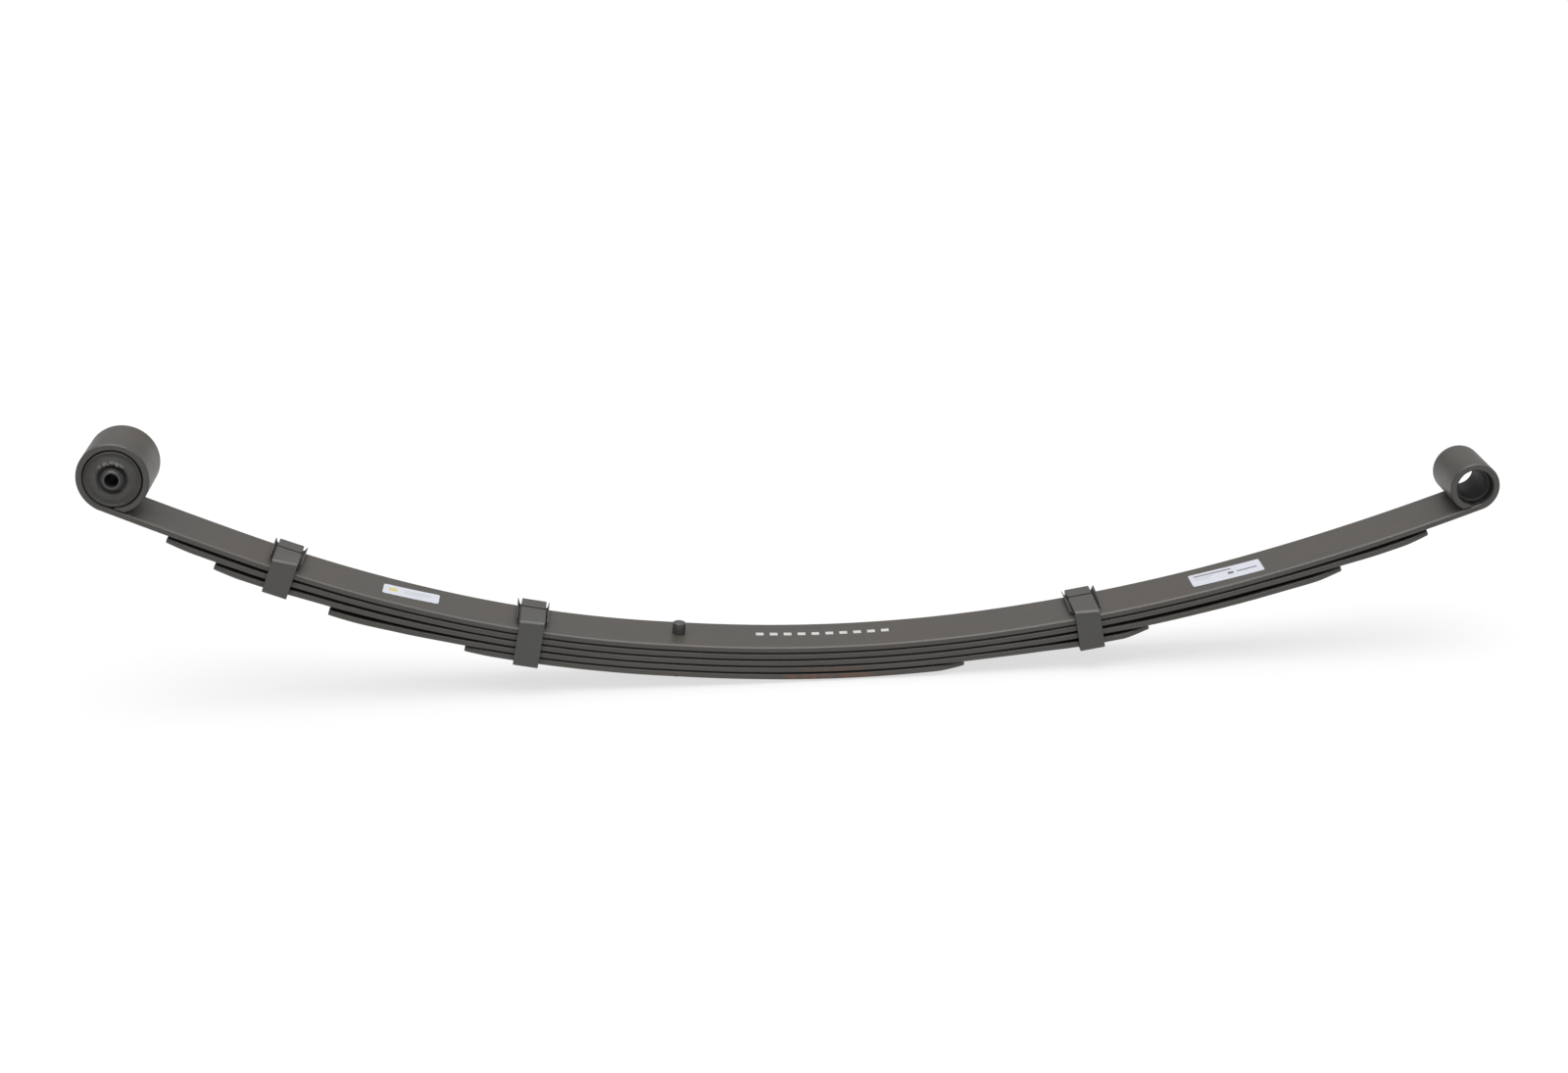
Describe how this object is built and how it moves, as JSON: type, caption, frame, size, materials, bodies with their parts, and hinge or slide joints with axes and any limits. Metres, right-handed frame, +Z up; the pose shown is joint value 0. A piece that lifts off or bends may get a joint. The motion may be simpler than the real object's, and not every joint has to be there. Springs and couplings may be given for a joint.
{
  "type": "automotive leaf spring",
  "caption": "Long curved pack of stepped flat leaves on a centre bolt, held by folded clips, with a rubber-bushed eye at one end and an open eye at the other.",
  "frame": {"origin": "centre-bolt axis at the top face of the main leaf, where the axle spring pad rests", "axes": "+Z up along the centre bolt, +X along the spring towards the longer, rear half and its open eye, +Y across the leaf width"},
  "size_m": [1.3438, 0.072, 0.2707],
  "materials": {
    "leaf_paint": "satin dark warm grey spring paint",
    "clip_paint": "satin dark grey paint over bent strip steel",
    "liner_paint": "satin dark grey paint over thin sheet",
    "hardware_paint": "satin dark grey paint over steel fasteners",
    "bushing_steel": "dull dark grey overspray on steel",
    "bushing_rubber": "matte black rubber with grey overspray",
    "label_paper": "white matt paper sticker with a blank coloured mark"
  },
  "bodies": {
    "axle_seat": {"main_leaf_centre": "leaf_paint", "second_leaf_centre": "leaf_paint", "third_leaf_centre": "leaf_paint", "fourth_leaf_centre": "leaf_paint", "fifth_leaf_centre": "leaf_paint", "centre_bolt": "hardware_paint", "centre_nut": "hardware_paint"},
    "main_front": {"main_leaf_front": "leaf_paint", "bushing_shell": "bushing_steel", "bushing_rubber": "bushing_rubber", "small_label": "label_paper"},
    "second_front": {"second_leaf_front": "leaf_paint"},
    "third_front": {"third_leaf_front": "leaf_paint", "front_clip": "clip_paint", "front_clip_liner": "liner_paint", "front_clip_rivet": "hardware_paint"},
    "fourth_front": {"fourth_leaf_front": "leaf_paint"},
    "fifth_front": {"fifth_leaf_front": "leaf_paint", "middle_clip": "clip_paint", "middle_clip_liner": "liner_paint", "middle_clip_rivet": "hardware_paint"},
    "main_rear": {"main_leaf_rear": "leaf_paint", "large_label": "label_paper", "rear_eye_liner": "bushing_steel"},
    "second_rear": {"second_leaf_rear": "leaf_paint"},
    "third_rear": {"third_leaf_rear": "leaf_paint"},
    "fourth_rear": {"fourth_leaf_rear": "leaf_paint", "rear_clip": "clip_paint", "rear_clip_liner": "liner_paint", "rear_clip_rivet": "hardware_paint"},
    "fifth_rear": {"fifth_leaf_rear": "leaf_paint"},
    "sleeve": {"bushing_sleeve": "bushing_steel"}
  },
  "joints": [
    {"name": "main_front_flex", "type": "hinge", "parent": "axle_seat", "child": "main_front", "pos_m": [-0.12396, 0, -0.00154], "axis": [0, -1, 0], "range_deg": [0, 15], "stiffness_Nm_per_rad": 696},
    {"name": "second_front_flex", "type": "hinge", "parent": "axle_seat", "child": "second_front", "pos_m": [-0.1237, 0, -0.00834], "axis": [0, -1, 0], "range_deg": [0, 15], "stiffness_Nm_per_rad": 696},
    {"name": "third_front_flex", "type": "hinge", "parent": "axle_seat", "child": "third_front", "pos_m": [-0.12343, 0, -0.01518], "axis": [0, -1, 0], "range_deg": [0, 15], "stiffness_Nm_per_rad": 696},
    {"name": "fourth_front_flex", "type": "hinge", "parent": "axle_seat", "child": "fourth_front", "pos_m": [-0.12317, 0, -0.02222], "axis": [0, -1, 0], "range_deg": [0, 15], "stiffness_Nm_per_rad": 696},
    {"name": "fifth_front_flex", "type": "hinge", "parent": "axle_seat", "child": "fifth_front", "pos_m": [-0.12289, 0, -0.02907], "axis": [0, -1, 0], "range_deg": [0, 15], "stiffness_Nm_per_rad": 696},
    {"name": "main_rear_flex", "type": "hinge", "parent": "axle_seat", "child": "main_rear", "pos_m": [0.17597, 0, 0.0027], "axis": [0, 1, 0], "range_deg": [0, 11], "stiffness_Nm_per_rad": 494},
    {"name": "second_rear_flex", "type": "hinge", "parent": "axle_seat", "child": "second_rear", "pos_m": [0.1761, 0, -0.00409], "axis": [0, 1, 0], "range_deg": [0, 11], "stiffness_Nm_per_rad": 494},
    {"name": "third_rear_flex", "type": "hinge", "parent": "axle_seat", "child": "third_rear", "pos_m": [0.17624, 0, -0.01099], "axis": [0, 1, 0], "range_deg": [0, 11], "stiffness_Nm_per_rad": 494},
    {"name": "fourth_rear_flex", "type": "hinge", "parent": "axle_seat", "child": "fourth_rear", "pos_m": [0.17636, 0, -0.0178], "axis": [0, 1, 0], "range_deg": [0, 11], "stiffness_Nm_per_rad": 494},
    {"name": "fifth_rear_flex", "type": "hinge", "parent": "axle_seat", "child": "fifth_rear", "pos_m": [0.17652, 0, -0.02508], "axis": [0, 1, 0], "range_deg": [0, 11], "stiffness_Nm_per_rad": 494},
    {"name": "sleeve_twist", "type": "hinge", "parent": "main_front", "child": "sleeve", "pos_m": [-0.53573, 0, 0.13561], "axis": [0, 1, 0], "range_deg": [-20, 20], "stiffness_Nm_per_rad": 60}
  ],
  "couplings": [
    {"joint": "second_front_flex", "follows": "main_front_flex", "ratio": 1},
    {"joint": "third_front_flex", "follows": "main_front_flex", "ratio": 1},
    {"joint": "fourth_front_flex", "follows": "main_front_flex", "ratio": 1},
    {"joint": "fifth_front_flex", "follows": "main_front_flex", "ratio": 1},
    {"joint": "second_rear_flex", "follows": "main_rear_flex", "ratio": 1},
    {"joint": "third_rear_flex", "follows": "main_rear_flex", "ratio": 1},
    {"joint": "fourth_rear_flex", "follows": "main_rear_flex", "ratio": 1},
    {"joint": "fifth_rear_flex", "follows": "main_rear_flex", "ratio": 1}
  ]
}
